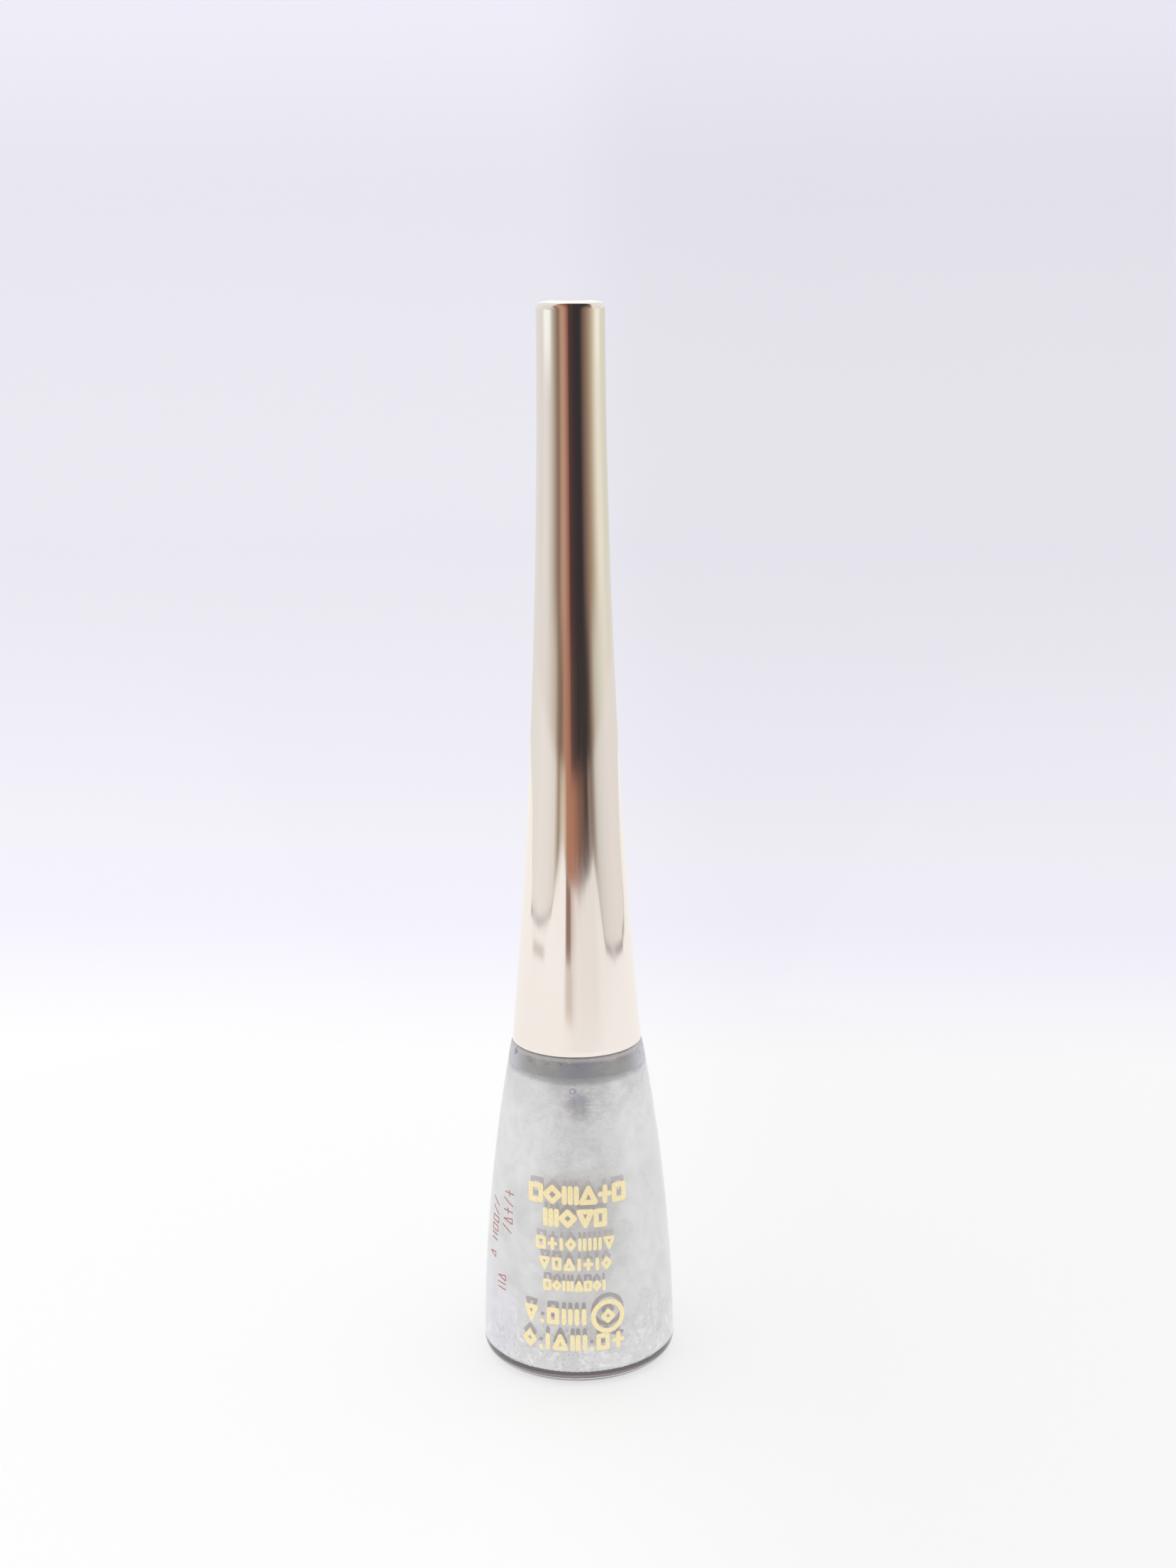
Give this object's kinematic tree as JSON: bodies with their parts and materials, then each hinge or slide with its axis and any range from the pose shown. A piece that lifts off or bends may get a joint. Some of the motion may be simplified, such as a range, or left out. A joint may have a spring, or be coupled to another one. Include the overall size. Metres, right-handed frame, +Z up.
{
  "type": "liquid eyeliner bottle",
  "caption": "Clear thick-walled dip eyeliner bottle of silver glitter liquid, with a tall flared pale-gold screw cap that carries the stem and brush.",
  "frame": {"origin": "Centre of the flat foot ring that the bottle stands on, under the middle of the object.", "axes": "+Z is up, along the axis of the bottle and the cap; -Y is the front, which carries the printed marks; +X is to the right as seen from the front."},
  "size_m": [0.0212, 0.0212, 0.1153],
  "materials": {
    "clear_plastic": "clear, polished, thick-walled moulding",
    "glitter_liquid": "opaque silver liquid full of fine glitter",
    "milky_plastic": "soft translucent natural polyethylene",
    "label_film": "thin printed film, gloss varnish",
    "metallised_plastic": "mirror-like vacuum-metallised pale champagne gold",
    "white_plastic": "natural moulded polypropylene, satin",
    "washer_foam": "fine closed-cell polyethylene foam",
    "stem_plastic": "satin moulded plastic, wet with glitter liquid at its tip",
    "bristle": "fine dark nylon filaments",
    "staple_brass": "flat drawn wire"
  },
  "bodies": {
    "bottle_body": {"bottle": "clear_plastic", "liquid": "glitter_liquid", "wiper": "milky_plastic", "base_label": "label_film"},
    "washer": {"seal_washer": "washer_foam"},
    "wand": {"wand_stem": "stem_plastic", "brush": "bristle", "brush_staple": "staple_brass"},
    "cap": {"cap_shell": "metallised_plastic", "inner_cap": "white_plastic"}
  },
  "joints": [
    {"name": "cap_pull_off", "type": "slide", "parent": "bottle_body", "child": "washer", "axis": [0, 0, 1], "range_m": [0, 0.05]},
    {"name": "cap_rise", "type": "slide", "parent": "washer", "child": "wand", "axis": [0, 0, 1], "range_m": [0, 0.00275]},
    {"name": "cap_turn", "type": "hinge", "parent": "wand", "child": "cap", "pos_m": [0, 0, 0.0417], "axis": [0, 0, 1], "range_deg": [0, 450]}
  ],
  "couplings": [
    {"joint": "cap_rise", "follows": "cap_turn", "m_per_rad": 0.00035014}
  ]
}
